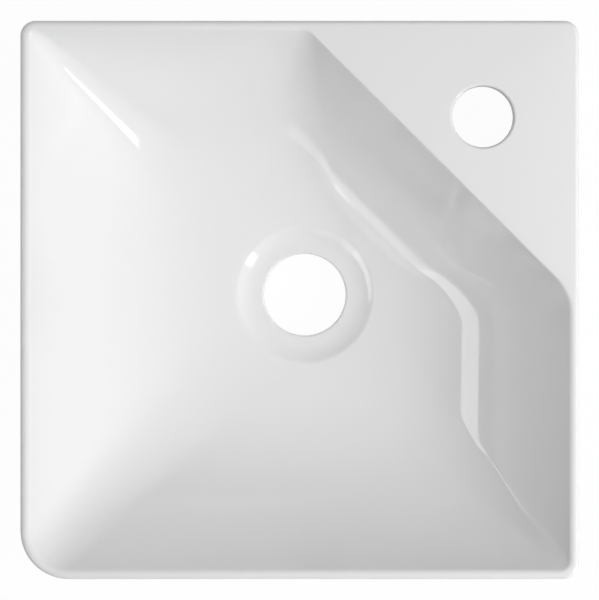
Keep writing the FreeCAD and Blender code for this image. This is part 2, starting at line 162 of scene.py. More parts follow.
NOUGHT = [0.0] * len(FACINGS)
trial = bowl_outline([HALF] * len(FACINGS), NOUGHT, NOUGHT)
print("places round the bowl:", len(trial))

# %% [markdown]
# ## The square plan
# The casting's outside is a square with rounded corners, the largest at the front, which faces
# the room. Each ring of the rim is this plan, drawn in a little. It is walked in step with the
# bowl, or the faces between the two would twist: the places of the deck's side spread over the
# stretch that runs round the room's corner.

# %% Walk round the square plan
WALL_CORNER = 7.5 * MM
SIDE_CORNER = 8 * MM
FRONT_CORNER = 26 * MM
SMALLEST_CORNER = 0.5 * MM
WALL_CORNER_STEPS = 8
DECK_START = -7 * MM
DECK_END = 25 * MM


def plan_outline(inset, height):
    """Walk round the square plan, drawn in by an inset, in step with the bowl's outline."""
    half = HALF - inset
    corners = (WALL_CORNER, SIDE_CORNER, FRONT_CORNER)
    wall, side, front = (max(corner - inset, SMALLEST_CORNER) for corner in corners)
    straight = (SIDE_STEPS - WALL_CORNER_STEPS) // 2
    right = [Vector((half, y)) for y in (side - half, DECK_START, DECK_END, half - wall)]
    back = [Vector((place.y, place.x)) for place in reversed(right)]
    places = span(right[0], right[1], SIDE_STEPS)
    places += span(right[1], right[2], CORNER_STEPS)
    places += span(right[2], right[3], straight)
    places += bend(Vector((half - wall, half - wall)), wall, 0, QUARTER, WALL_CORNER_STEPS)
    places += span(back[0], back[1], straight)
    places += span(back[1], back[2], CORNER_STEPS)
    places += span(back[2], back[3], SIDE_STEPS)
    places += bend(Vector((side - half, half - side)), side, QUARTER, QUARTER, CORNER_STEPS)
    places += span(Vector((-half, half - side)), Vector((-half, front - half)), SIDE_STEPS)
    places += bend(Vector((front - half, front - half)), front, 2 * QUARTER, QUARTER, CORNER_STEPS)
    places += span(Vector((front - half, -half)), Vector((half - side, -half)), SIDE_STEPS)
    places += bend(Vector((half - side, side - half)), side, 3 * QUARTER, QUARTER, CORNER_STEPS)
    return [Vector((place.x, place.y, height)) for place in places]


print("places round the plan:", len(plan_outline(0, 0)))

# %% [markdown]
# ## How the bowl falls
# Water has to run to the waste from everywhere, so a small share of the fall is even. The rest
# is a power curve: nearly level over the floor and steep at the rim, as a thrown bowl is. The
# shape could be sculpted by eye. A formula is used because the CAD model was lofted from the
# same one, and the two have to agree.

# %% Fall of the bowl
EVEN_FALL = 0.12
SIDE_CURVE = 3.0
SEAT = 20 * MM
RECESS_DEPTH = 3.5 * MM
BOWL_FOOT = SEAT + RECESS_DEPTH


def fall(left):
    """Height above the bowl's foot, as a share, where a share of the way in is left."""
    return EVEN_FALL * left + (1 - EVEN_FALL) * left ** SIDE_CURVE


print("bowl's depth:", round(TOP - BOWL_FOOT, 4), "share of it half way in:", round(fall(0.5), 3))

# %% [markdown]
# ## Levels of the bowl
# A level outline is the mouth's outline, drawn in towards the round waste recess: each side by
# its distance, and each corner by its radius, until the five sides are all but a circle. At the
# ends of the tap deck the photograph shows turns that open into wide soft valleys below the
# mouth, so those two corners swell on the way down. The one at the left end starts tight.

# %% Level outlines
RIM_INSET = 4.5 * MM
DECK_DEPTH = 106.13 * MM
DECK_CURVE = 2.5
RECESS_RADIUS = 38 * MM
RECESS_LAP = 2 * MM
FLOOR_RADIUS = RECESS_RADIUS - RECESS_LAP
NEAR = HALF - RIM_INSET - WASTE_OFFSET
FAR = HALF - RIM_INSET + WASTE_OFFSET
DECK = HALF * math.sqrt(2) - DECK_DEPTH - WASTE_OFFSET * math.sqrt(2)
MOUTHS = (NEAR, DECK, NEAR, FAR, FAR)
# The corners follow the sides: the deck's right and left ends, then left, front and right.
BOWL_CORNERS = [radius * MM for radius in (28, 12, 6, 21.5, 7)]
BOWL_SWELL = [radius * MM for radius in (10, 18, 0, 0, 0)]


def level(left, outset, drop, mouths, corners, swell):
    """One level outline of the bowl or the skin: left is 1 at the mouth and 0 at the waste."""
    ways = [left ** (SIDE_CURVE / DECK_CURVE) if side == DECK_SIDE else left for side in SIDES]
    distances = [
        FLOOR_RADIUS + (mouth - FLOOR_RADIUS) * way + outset for mouth, way in zip(mouths, ways)]
    foot = FLOOR_RADIUS - RECESS_LAP + outset
    ends = [corner * left + foot * (1 - left) for corner in corners]
    # 4 * left * (1 - left) is nought at both ends of the way and 1 in the middle.
    radii = [end + 4 * extra * left * (1 - left) for end, extra in zip(ends, swell)]
    height = BOWL_FOOT - drop + (TOP - BOWL_FOOT) * fall(left)
    return bowl_outline(distances, radii, [height] * len(FACINGS))


def bowl_level(left):
    """A level outline of the bowl itself."""
    return level(left, 0, 0, MOUTHS, BOWL_CORNERS, BOWL_SWELL)


mouth_across = [place.x for place in bowl_level(1)]
print("bowl's mouth from", round(min(mouth_across), 4), "to", round(max(mouth_across), 4))

# %% [markdown]
# ## Circles in step
# The waste hole, its boss and the recess are turned in the plaster of the mould, so they are
# true circles. They can't be made as plain circles, because their places have to lie in the same
# directions as the bowl's, or the joining faces would twist. So the directions are read from
# the bowl's lowest outline.

# %% Circles about the waste axis
def disc(radius, height):
    """A true circle about the waste axis, in step with the bowl's foot."""
    around = [place - WASTE_AXIS for place in bowl_level(0)]
    directions = [Vector((place.x, place.y, 0)).normalized() for place in around]
    return [WASTE_AXIS + direction * radius + Vector((0, 0, height)) for direction in directions]


FOOT_EDGE = 0.8 * MM
HOLE_RADIUS = 23 * MM
first = disc(HOLE_RADIUS + FOOT_EDGE, 0)
count = len(first)
print("places round the waste hole:", count)

# %% [markdown]
# ## Growing the casting
# The shell starts as one circle, the waste hole's lower edge. Extruding its open rim and moving
# the new ring to the next outline is what a loft does, one band at a time. The walk goes over
# the underside, round the flanges' feet and the rim, down into the bowl and back into the waste
# hole, where bridging the last ring to the first closes it. A Subdivision Surface over a coarse
# cage would be quicker, but it would round the walls and the deck as well.

# %% Start the shell
def ring_edges(shell, ring):
    """The edges between a ring's neighbours."""
    return [shell.edges.get((ring[index - 1], ring[index])) for index in range(len(ring))]


def grow(shell, rim, places):
    """Extrude the open rim by one band and move the new ring to its places."""
    made = bmesh.ops.extrude_edge_only(shell, edges=ring_edges(shell, rim))["geom"]
    old = {vertex: index for index, vertex in enumerate(rim)}
    ring = [None] * len(rim)
    for vertex in (item for item in made if isinstance(item, bmesh.types.BMVert)):
        neighbours = [edge.other_vert(vertex) for edge in vertex.link_edges]
        root = next(neighbour for neighbour in neighbours if neighbour in old)
        ring[old[root]] = vertex
    for vertex, place in zip(ring, places):
        vertex.co = place
    return ring


shell = bmesh.new()
start = bmesh.ops.create_circle(shell, radius=HOLE_RADIUS, segments=count)["verts"]
for vertex, place in zip(start, first):
    vertex.co = place
print("first ring:", len(shell.verts), "vertices,", len(shell.edges), "edges")

# %% [markdown]
# ## The waste's boss
# Under the bowl a round boss thickens the ceramic, so that the waste fitting can be clamped. It
# stands on the kiln's props, and its edges are fettled, which means pared with a knife and then
# sponged: a narrow chamfer at the foot, and a fillet where it runs into the bowl's underside.

# %% Boss
BOSS_RADIUS = 36 * MM
BOSS_FILLET = 3 * MM
SKIN_DROP = 10 * MM
ARC_STEPS = 6
skin_foot = BOWL_FOOT - SKIN_DROP
rim = grow(shell, start, disc(BOSS_RADIUS - FOOT_EDGE, 0))
rim = grow(shell, rim, disc(BOSS_RADIUS, FOOT_EDGE))
for step in range(ARC_STEPS + 1):
    angle = QUARTER * step / ARC_STEPS
    radius = BOSS_RADIUS + BOSS_FILLET * (1 - math.cos(angle))
    rim = grow(shell, rim, disc(radius, skin_foot - BOSS_FILLET * (1 - math.sin(angle))))
print("boss grown, vertices:", len(shell.verts))

# %% [markdown]
# ## The underside of the bowl
# Slip casting leaves a wall of nearly even thickness, so the underside is the bowl's surface
# again, a wall's thickness out and down. It rises until it runs into the flanges, which stand
# against the room's walls. A Boolean could cut it off there. Stopping each vertex on its way, at
# the flange's inner face, gives the same line with tidier faces.

# %% Underside of the bowl
FLANGE_THICKNESS = 9 * MM
INSIDE = HALF - FLANGE_THICKNESS
SKIN_OUTSET = 5.5 * MM
SKIN_WALL_INSET = 1.5 * MM
SKIN_STEPS = 28
# Places that are closer than this, in metres, are taken to touch.
NEARLY = 1e-7
SKIN_CORNERS = [radius * MM for radius in (35.5, 35.5, 8, 26, 8)]
skin_far = HALF - SKIN_OUTSET + WASTE_OFFSET
skin_near = HALF - SKIN_OUTSET - WASTE_OFFSET - SKIN_WALL_INSET
skin_mouths = (skin_near, DECK, skin_near, skin_far, skin_far)


def stop_at_flange(old, new):
    """Cut a vertex's step short where it meets the inside of a flange."""
    before, after = max(old.x, old.y), max(new.x, new.y)
    if after <= INSIDE:
        return new
    return old.lerp(new, max(0.0, INSIDE - before) / max(after - before, NEARLY))


for step in range(SKIN_STEPS + 1):
    left = step / SKIN_STEPS
    places = level(left, SKIN_OUTSET, SKIN_DROP, skin_mouths, SKIN_CORNERS, NOUGHT)
    if step:
        places = [stop_at_flange(vertex.co, place) for vertex, place in zip(rim, places)]
    rim = grow(shell, rim, places)
print("underside grown, vertices:", len(shell.verts))

# %% [markdown]
# ## The flanges' feet
# Along the room's corner the feet of the flanges stand level. Towards the free ends they sweep
# up in an arc, which saves clay and lets a hand reach the fixings. A circle is used, because one
# radius then does it: it leaves the level foot without a kink and meets the deck's underside at
# the plan's edge.

# %% Height of the feet
DECK_THICKNESS = 10 * MM
SHOULDER = TOP - DECK_THICKNESS
FLANGE_FOOT_REACH = 20 * MM
FOOT_RUN = HALF - FLANGE_FOOT_REACH
FOOT_SWEEP = (FOOT_RUN ** 2 + SHOULDER ** 2) / (2 * SHOULDER)


def foot_height(place):
    """Height of a flange's foot beside a place: level, then swept up to the free end."""
    past = max(0.0, -FLANGE_FOOT_REACH - min(place.x, place.y))
    return min(SHOULDER, FOOT_SWEEP - math.sqrt(max(FOOT_SWEEP ** 2 - past ** 2, 0.0)))


def lowered(place, lift):
    """The same place, brought down to a lift above the flange's foot."""
    return Vector((place.x, place.y, min(place.z, foot_height(place) + lift)))


print("radius of the feet's sweep:", round(FOOT_SWEEP, 4))

# %% [markdown]
# ## Under the deck and round the flanges
# The walk now crosses the underside of the deck, goes down the inside of the flanges, round
# their feet and up the wall faces. Each ring moves only the places that it concerns. The others
# stay where they are, and their empty faces go when doubles are merged at the end, which is
# simpler than growing a part of the rim.

# %% Flanges
deck_stretch = range(SIDE_STEPS, 2 * (SIDE_STEPS + CORNER_STEPS))
last_wall = 3 * (SIDE_STEPS + CORNER_STEPS)
wall_stretch = [index for index in range(count) if not last_wall <= index < count - CORNER_STEPS]


def meets_flange(place):
    """Whether a place lies on the inner face of a flange."""
    return max(place.x, place.y) >= INSIDE - NEARLY


under_deck = plan_outline(FLANGE_THICKNESS, SHOULDER)
places = [vertex.co.copy() for vertex in rim]
for index in deck_stretch:
    if not meets_flange(places[index]):
        places[index] = under_deck[index]
rim = grow(shell, rim, places)

at_flange = [index for index, place in enumerate(places) if meets_flange(place)]
places = [vertex.co.copy() for vertex in rim]
for index in at_flange:
    places[index] = lowered(places[index], FOOT_EDGE)
rim = grow(shell, rim, places)
for index in at_flange:
    across = [FOOT_EDGE if value >= INSIDE - NEARLY else 0.0 for value in places[index].xy]
    places[index] = lowered(places[index] + Vector((*across, 0)), 0)
rim = grow(shell, rim, places)
for inset, lift in ((FOOT_EDGE, 0.0), (0.0, FOOT_EDGE)):
    outline = plan_outline(inset, SHOULDER)
    for index in wall_stretch:
        places[index] = lowered(outline[index], lift)
    rim = grow(shell, rim, places)
print("flanges grown, vertices:", len(shell.verts))

# %% [markdown]
# ## The rim and the tap deck
# A casting's rim is a plump roll: the slip and the glaze leave no sharp edge. One quarter circle
# rounds the outside. A second arc turns from the level top into the bowl, and it ends at each
# side's own slope, so that the highlight runs on without a break. A Bevel modifier couldn't
# follow a slope that differs from side to side. The tap deck is simply where the level band
# between the two arcs is wide.

# %% Rim and mouth
RIM_ROUND = 2.6 * MM
RIM_STEPS = 8
MOUTH_STEPS = 8
# In the order of the sides: right, deck, back, left and front.
MOUTH_ROUNDS = [radius * MM for radius in (3.2, 1.6, 3.2, 3.2, 3.2)]


def mouth_ring(share):
    """A ring of the roll into the bowl: 0 where it leaves the top, 1 where the bowl begins."""
    rise = (TOP - BOWL_FOOT) * (EVEN_FALL + (1 - EVEN_FALL) * SIDE_CURVE)
    distances, heights = [], []
    for side, mouth, roll in zip(SIDES, MOUTHS, MOUTH_ROUNDS):
        run = (mouth - FLOOR_RADIUS) * (SIDE_CURVE / DECK_CURVE if side == DECK_SIDE else 1)
        slope = math.atan2(rise, run)
        out = roll * math.tan(slope / 2) - roll * math.sin(slope * share)
        distances.append(mouth + out)
        heights.append(TOP - roll * (1 - math.cos(slope * share)))
    grown = [distance - mouth for distance, mouth in zip(distances, MOUTHS)]
    radii = [corner + out for corner, out in zip(BOWL_CORNERS, grown)]
    return bowl_outline(distances, radii, heights)


for step in range(RIM_STEPS + 1):
    angle = QUARTER * step / RIM_STEPS
    inset = RIM_ROUND * (1 - math.cos(angle))
    rim = grow(shell, rim, plan_outline(inset, TOP - RIM_ROUND * (1 - math.sin(angle))))
for step in range(MOUTH_STEPS + 1):
    rim = grow(shell, rim, mouth_ring(step / MOUTH_STEPS))
print("rim grown, vertices:", len(shell.verts))

# %% [markdown]
# ## The bowl
# The bowl is its level outlines, one below another. Its glaze mirrors the lamps, and a mirror
# shows each change of slope, so the levels lie close together: there are four times as many as
# in the CAD model. They start just below the roll, and they stop short of the waste, where the
# recess takes over.

# %% Bowl
BOWL_STEPS = 64
BELOW_MOUTH = 0.985
LAST_LEVEL = 0.09
for step in range(BOWL_STEPS + 1):
    left = BELOW_MOUTH + (LAST_LEVEL - BELOW_MOUTH) * step / BOWL_STEPS
    rim = grow(shell, rim, bowl_level(left))
print("bowl grown, vertices:", len(shell.verts), "lowest ring at", round(rim[0].co.z, 4))

# %% [markdown]
# ## Heights round the recess
# The waste fitting sits in a shallow round dish, which is cut into a floor that isn't level. A
# Boolean would cut a sharp edge. To leave room for a soft one, the floor's height is read from
# the bowl's lowest outlines in each direction, and the dish's floor starts from that height.

# %% Floor and dish
HOLE_ROUND = 1.2 * MM
DISH_CURVE = 2.6
FLOOR_SAMPLES = 240
LOWEST_SAMPLES = 30
dish_edge = HOLE_RADIUS + HOLE_ROUND
low_levels = [bowl_level(step / FLOOR_SAMPLES) for step in range(LOWEST_SAMPLES)]


def reach(place):
    """Distance from the waste axis, seen from above."""
    return math.hypot(place.x - WASTE_OFFSET, place.y - WASTE_OFFSET)


def floor_height(index, radius):
    """Height of the bowl's floor at a radius, in the direction of one of the ring's places."""
    for inner, outer in zip(low_levels, low_levels[1:]):
        near, far = reach(inner[index]), reach(outer[index])
        if far >= radius:
            climb = outer[index].z - inner[index].z
            return inner[index].z + climb * max(0.0, radius - near) / (far - near)
    return low_levels[-1][index].z


def dish_height(brow_height, radius):
    """Height of the dish's floor, which flattens towards the hole."""
    share = (radius - dish_edge) / (RECESS_RADIUS - dish_edge)
    return SEAT + (brow_height - SEAT) * share ** DISH_CURVE


brow_heights = [floor_height(index, RECESS_RADIUS) for index in range(count)]
print("dish's edge from", round(min(brow_heights), 4), "to", round(max(brow_heights), 4), "high")

# %% [markdown]
# ## The brow of the recess
# The edge between floor and dish is the brow, a soft roll that catches a thin arc of light.
# Three heights, outside, on the edge and inside, are blended along it as a Bezier curve does,
# so it runs into both surfaces with hardly a kink.

# %% Brow
BROW = 1.3 * MM
BROW_STEPS = 4
for step in range(BROW_STEPS + 1):
    share = step / BROW_STEPS
    places = disc(RECESS_RADIUS + BROW * (1 - 2 * share), 0)
    for index, place in enumerate(places):
        outside = floor_height(index, RECESS_RADIUS + BROW)
        inside = dish_height(brow_heights[index], RECESS_RADIUS - BROW)
        middle = 2 * share * (1 - share) * brow_heights[index]
        place.z = (1 - share) ** 2 * outside + middle + share ** 2 * inside
    rim = grow(shell, rim, places)
print("brow grown, vertices:", len(shell.verts))

# %% [markdown]
# ## The dish and the waste hole
# The dish's floor falls gently towards the hole, so that no water stands round the fitting. The
# hole's edge is sponged to a small quarter round, and then the walk goes straight down through
# the seat. Bridging the last ring to the first closes the shell. A closed shell has no open
# edges and has a volume, so both are printed.

# %% Dish, hole and closed shell
DISH_STEPS = 12
WELD = 0.002 * MM
for step in range(1, DISH_STEPS + 1):
    radius = RECESS_RADIUS - BROW + (dish_edge - RECESS_RADIUS + BROW) * step / DISH_STEPS
    places = disc(radius, 0)
    for place, brow_height in zip(places, brow_heights):
        place.z = dish_height(brow_height, radius)
    rim = grow(shell, rim, places)
for step in range(1, ARC_STEPS + 1):
    angle = QUARTER * step / ARC_STEPS
    radius = dish_edge - HOLE_ROUND * math.sin(angle)
    rim = grow(shell, rim, disc(radius, SEAT - HOLE_ROUND * (1 - math.cos(angle))))
rim = grow(shell, rim, disc(HOLE_RADIUS, FOOT_EDGE))
bmesh.ops.bridge_loops(shell, edges=ring_edges(shell, rim) + ring_edges(shell, start))
bmesh.ops.remove_doubles(shell, verts=shell.verts, dist=WELD)
bmesh.ops.recalc_face_normals(shell, faces=shell.faces)
open_edges = [edge for edge in shell.edges if not edge.is_manifold]
print("shell closed, faces:", len(shell.faces), "open edges:", len(open_edges))
print("volume in cubic centimetres:", round(shell.calc_volume() * 1e6, 1))

# %% [markdown]
# ## The tap hole's cutter
# The potter cuts the tap hole while the clay is leather hard, and wipes its edge with a wet
# sponge. A Boolean modifier does the same here. Its cutter is a spun profile with a flared top,
# so the cut leaves the soft roll, which a plain cylinder and a later bevel would do less well
# where the edge meets the wide flat deck.

# %% Tap hole's cutter
TAP_INSET = 51.5 * MM
TAP_PLACE = HALF - TAP_INSET
TAP_RADIUS = 16.5 * MM
TAP_ROUND = 1.6 * MM
TAP_STEPS = 12
CLEAR = 5 * MM
ROUND_SEGMENTS = 96


def tap_cutter(builder):
    """Spin the tap hole's profile: straight through the deck, flared at its top."""
    profile = [Vector((0, 0, SHOULDER - CLEAR)), Vector((TAP_RADIUS, 0, SHOULDER - CLEAR))]
    for step in range(TAP_STEPS):
        angle = QUARTER * step / TAP_STEPS
        across = TAP_RADIUS + TAP_ROUND * (1 - math.cos(angle))
        profile.append(Vector((across, 0, TOP - TAP_ROUND * (1 - math.sin(angle)))))
    profile += [Vector((profile[-1].x, 0, TOP + CLEAR)), Vector((0, 0, TOP + CLEAR))]
    line = [builder.verts.new(place + Vector((TAP_PLACE, TAP_PLACE, 0))) for place in profile]
    edges = [builder.edges.new(pair) for pair in zip(line, line[1:])]
    bmesh.ops.spin(
        builder, geom=line + edges, cent=(TAP_PLACE, TAP_PLACE, 0), axis=(0, 0, 1),
        angle=math.tau, steps=ROUND_SEGMENTS, use_merge=True)
    bmesh.ops.remove_doubles(builder, verts=builder.verts, dist=WELD)
    bmesh.ops.recalc_face_normals(builder, faces=builder.faces)


print("tap hole across, in millimetres:", round(2 * TAP_RADIUS / MM, 1))

# %% [markdown]
# ## Cutters for the fixings
# Each flange has a shallow recess for its hanger's plate, a window that the hook's tongue passes
# through, and a round hole for the anchor. They are cut for the right wall only and mirrored
# across the basin's diagonal to the left one. Their places and widths come from the steel,
# rubber and nylon pieces that fill them, so that nothing can miss its hole.

# %% Helpers for cutters
def block(builder, low, high):
    """Add a box between two corners."""
    made = bmesh.ops.create_cube(builder, size=1.0)["verts"]
    bmesh.ops.scale(builder, vec=high - low, verts=made)
    bmesh.ops.translate(builder, vec=(low + high) / 2, verts=made)
    return made


def mirror_to_left(builder):
    """Add the left wall's copy of what the cutter holds, across the basin's diagonal."""
    swap = Matrix(((0, 1, 0), (1, 0, 0), (0, 0, 1)))
    everything = builder.verts[:] + builder.edges[:] + builder.faces[:]
    copies = bmesh.ops.duplicate(builder, geom=everything)["geom"]
    copied = [item for item in copies if isinstance(item, bmesh.types.BMVert)]
    bmesh.ops.transform(builder, matrix=swap.to_4x4(), verts=copied)
    bmesh.ops.recalc_face_normals(builder, faces=builder.faces)


hanger_low, hanger_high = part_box("right_wall_hanger")
pad_low, pad_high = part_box("right_hook_pad")
sleeve_low, sleeve_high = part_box("right_anchor_sleeve")
print("plate's width in millimetres:", round((hanger_high.y - hanger_low.y) / MM, 1))

# %% [markdown]
# ## Two rounds of cutting
# The plate's recess and the window share the lintel's lower face. In one cutter they would
# overlap there, and a Boolean doesn't like a cutter that crosses itself. So the recesses, the
# anchor holes and the tap hole make one cutter, and the windows make a second.

# %% Cutters
STEEL_GAUGE = 2.5 * MM
PLATE_GAP = 0.5 * MM
PAD_SOLE = 2 * MM
WINDOW_SIDE_GAP = 3 * MM
WINDOW_HEIGHT = 18 * MM
ANCHOR_RADIUS = 6.05 * MM
ANCHOR_SEGMENTS = 48
lintel = pad_low.z + PAD_SOLE
anchor = (sleeve_low + sleeve_high) / 2


def mesh_object(name, builder):
    """Turn a bmesh into an object that sits at the origin, unturned and unscaled."""
    mesh = bpy.data.meshes.new(name)
    builder.to_mesh(mesh)
    builder.free()
    piece = bpy.data.objects.new(name, mesh)
    bpy.context.scene.collection.objects.link(piece)
    return piece


first_cut = bmesh.new()
recess_side, recess_foot = hanger_low.y - PLATE_GAP, hanger_low.z - PLATE_GAP
recess_low = Vector((HALF - STEEL_GAUGE - PLATE_GAP, recess_side, recess_foot))
block(first_cut, recess_low, Vector((HALF + CLEAR, hanger_high.y + PLATE_GAP, lintel)))
drill = bmesh.ops.create_cone(
    first_cut, cap_ends=True, segments=ANCHOR_SEGMENTS, radius1=ANCHOR_RADIUS,
    radius2=ANCHOR_RADIUS, depth=FLANGE_THICKNESS + 2 * CLEAR)["verts"]
bmesh.ops.rotate(first_cut, cent=(0, 0, 0), matrix=Matrix.Rotation(QUARTER, 3, "Y"), verts=drill)
drilled = (HALF - FLANGE_THICKNESS / 2, anchor.y, anchor.z)
bmesh.ops.translate(first_cut, vec=drilled, verts=drill)
mirror_to_left(first_cut)
tap_cutter(first_cut)
second_cut = bmesh.new()
window_low = Vector((INSIDE - CLEAR, pad_low.y - WINDOW_SIDE_GAP, lintel - WINDOW_HEIGHT))
block(second_cut, window_low, Vector((HALF + CLEAR, pad_high.y + WINDOW_SIDE_GAP, lintel)))
mirror_to_left(second_cut)
cutters = [mesh_object("opening_cutter", first_cut), mesh_object("window_cutter", second_cut)]
print("cutters' faces:", [len(cutter.data.polygons) for cutter in cutters])

# %% [markdown]
# ## Cutting and shading
# The Boolean's exact solver is used, because the cuts run close to the shell's own edges. It
# gives the same shape each run, and only the order of its faces and the way it splits flat ones
# may differ. Its result is taken as the piece's own mesh, and the cutters are thrown away. A
# glazed surface is smooth, so faces are shaded smooth, and only edges that turn more sharply
# than the crease angle stay crisp: the feet and the cut openings.

# %% Cut the openings and shade the shell
CREASE = math.radians(38)
glazed_basin = mesh_object("glazed_basin", shell)
for cutter in cutters:
    cut = glazed_basin.modifiers.new(cutter.name, "BOOLEAN")
    cut.object = cutter
    cut.operation = "DIFFERENCE"
    cut.solver = "EXACT"
depsgraph = bpy.context.evaluated_depsgraph_get()
cut_mesh = bpy.data.meshes.new_from_object(glazed_basin.evaluated_get(depsgraph))
glazed_basin.modifiers.clear()
glazed_basin.data = cut_mesh
for cutter in cutters:
    bpy.data.objects.remove(cutter)
finish = bmesh.new()
finish.from_mesh(cut_mesh)
bmesh.ops.remove_doubles(finish, verts=finish.verts, dist=WELD)
for face in finish.faces:
    face.smooth = True
for edge in finish.edges:
    edge.smooth = edge.is_manifold and edge.calc_face_angle(0.0) < CREASE
print("open edges after the cuts:", sum(not edge.is_manifold for edge in finish.edges))
finish.to_mesh(cut_mesh)
finish.free()
print("glazed basin faces:", len(cut_mesh.polygons))

# %% [markdown]
# ## The skin takes the casting's place
# The skin stands for the CAD model's casting, which stays hidden for collision. It rides on the
# only body there is, because nothing in a bare basin moves.

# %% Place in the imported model
BODY = sorted(frame["bodies"])[0]
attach(glazed_basin, BODY)
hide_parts("ceramic_basin")
print("glazed basin rides on", BODY)

# %% [markdown]
# ## Helpers for finishes
# A finish is a tree of shader nodes. In the editor one adds a node, sets it and draws its wires
# by hand. The same few steps turn up in each finish, so they are helpers here. Patterns read
# Object coordinates, which need no unwrapping and stay put when the camera moves. A Mapping node
# can stretch them, as brushing does.

# %% Helpers for nodes
def add_node(tree, kind, values=None, **options):
    """Add a shader node, set its options, and then the values of its inputs."""
    node = tree.nodes.new("ShaderNode" + kind)
    for option, setting in options.items():
        setattr(node, option, setting)
    for socket, value in (values or {}).items():
        node.inputs[socket].default_value = value
    return node


def wire(tree, *pairs):
    """Join outputs to inputs, pair by pair."""
    for output, target in pairs:
        tree.links.new(output, target)


def noise_on(tree, detail, scale=1.0, stretch=(1, 1, 1)):
    """A noise over Object coordinates; a wire into its Scale stands in for the value."""
    place = add_node(tree, "TexCoord")
    mapping = add_node(tree, "Mapping", {"Scale": stretch})
    noise = add_node(tree, "TexNoise", {"Scale": scale, "Detail": detail})
    wire(tree, (place.outputs["Object"], mapping.inputs["Vector"]),
         (mapping.outputs["Vector"], noise.inputs["Vector"]))
    return noise


def new_material(name):
    """Make a material; its tree starts with a Principled BSDF."""
    material = bpy.data.materials.new(name)
    material.use_nodes = True
    return material, material.node_tree, material.node_tree.nodes["Principled BSDF"]


print("materials so far:", len(bpy.data.materials))

# %% [markdown]
# ## Effects that finishes share
# Two effects turn up in every finish: the tone drifts, and the surface ripples. They could be
# copied into each material. A node group is better: it is built once, with named sockets, and
# placed in each material with its own values, so that a change reaches all of them.

# %% Empty groups
COLOUR = "NodeSocketColor"
VALUE = "NodeSocketFloat"


def new_group(name, inputs, outputs):
    """Make an empty node group with named sockets; each input has its kind and default."""
    group = bpy.data.node_groups.new(name, "ShaderNodeTree")
    for label, (kind, default) in inputs.items():
        socket = group.interface.new_socket(label, in_out="INPUT", socket_type=kind)
        socket.default_value = default
    for label, kind in outputs.items():
        group.interface.new_socket(label, in_out="OUTPUT", socket_type=kind)
    return group, group.nodes.new("NodeGroupInput"), group.nodes.new("NodeGroupOutput")


print("kinds of socket:", COLOUR, VALUE)

# %% [markdown]
# ## Drifting tone
# A fired, plated or moulded surface is never one tone all over. A noise drifts the colour
# towards a second one, which looks more natural than a flat colour and costs little. The share
# of the drift comes out too, because gloss often changes with tone.

# %% Group: tone drift
DRIFT_DETAIL = 3.0
DRIFT_FROM = 0.35
DRIFT_TO = 0.75


def make_tone_drift():
    """Drift a colour towards a second one where a noise runs high."""
    inputs = {"Tone": (COLOUR, (1, 1, 1, 1)), "Drift": (COLOUR, (0, 0, 0, 1)),
              "Scale": (VALUE, 20.0), "Amount": (VALUE, 0.5)}
    group, given, result = new_group("tone_drift", inputs, {"Colour": COLOUR, "Share": VALUE})
    noise = noise_on(group, DRIFT_DETAIL)
    spread = add_node(group, "MapRange", {"From Min": DRIFT_FROM, "From Max": DRIFT_TO})
    mix = add_node(group, "Mix", data_type="RGBA")
    wire(
        group,
        (given.outputs["Scale"], noise.inputs["Scale"]),
        (noise.outputs["Fac"], spread.inputs["Value"]),
        (given.outputs["Amount"], spread.inputs["To Max"]),
        (spread.outputs["Result"], mix.inputs["Factor"]),
        (given.outputs["Tone"], mix.inputs["A"]),
        (given.outputs["Drift"], mix.inputs["B"]),
        (mix.outputs["Result"], result.inputs["Colour"]),
        (spread.outputs["Result"], result.inputs["Share"]),
    )
    return group


tone_drift = make_tone_drift()


def add_drift(tree, tone, drift, scale, amount):
    """Place the tone drift in a material's tree."""
    return add_node(
        tree, "Group", {"Tone": (*tone, 1), "Drift": (*drift, 1), "Scale": scale, "Amount": amount},
        node_tree=tone_drift)


print("tone drift's sockets:", [item.name for item in tone_drift.interface.items_tree])

# %% [markdown]
# ## Rippled surface
# No surface is perfectly flat either. A long soft wave and a fine grain are added into one
# height, which a Bump node turns into tilted reflections. The shapes are already in the meshes.
# The bump only adds what is far smaller than a face.

# %% Group: surface ripple
WAVE_DETAIL = 1.0
GRAIN_DETAIL = 2.0


def make_surface_ripple():
    """Add a long soft wave and a fine grain into one height."""
    inputs = {"Wave Scale": (VALUE, 12.0), "Grain Scale": (VALUE, 900.0),
              "Grain Share": (VALUE, 0.1)}
    group, given, result = new_group("surface_ripple", inputs, {"Height": VALUE})
    wave, grain = noise_on(group, WAVE_DETAIL), noise_on(group, GRAIN_DETAIL)
    add = add_node(group, "Math", operation="MULTIPLY_ADD")
    wire(
        group,
        (given.outputs["Wave Scale"], wave.inputs["Scale"]),
        (given.outputs["Grain Scale"], grain.inputs["Scale"]),
        (grain.outputs["Fac"], add.inputs[0]),
        (given.outputs["Grain Share"], add.inputs[1]),
        (wave.outputs["Fac"], add.inputs[2]),
        (add.outputs["Value"], result.inputs["Height"]),
    )
    return group


surface_ripple = make_surface_ripple()


def add_ripple(tree, shader, wave, grain, share, strength, distance):
    """Place the ripple in a material's tree and lead it to the shader's normal."""
    ripple = add_node(
        tree, "Group", {"Wave Scale": wave, "Grain Scale": grain, "Grain Share": share},
        node_tree=surface_ripple)
    bump = add_node(tree, "Bump", {"Strength": strength, "Distance": distance})
    wire(tree, (ripple.outputs["Height"], bump.inputs["Height"]),
         (bump.outputs["Normal"], shader.inputs["Normal"]))


print("shared groups:", [group.name for group in bpy.data.node_groups])

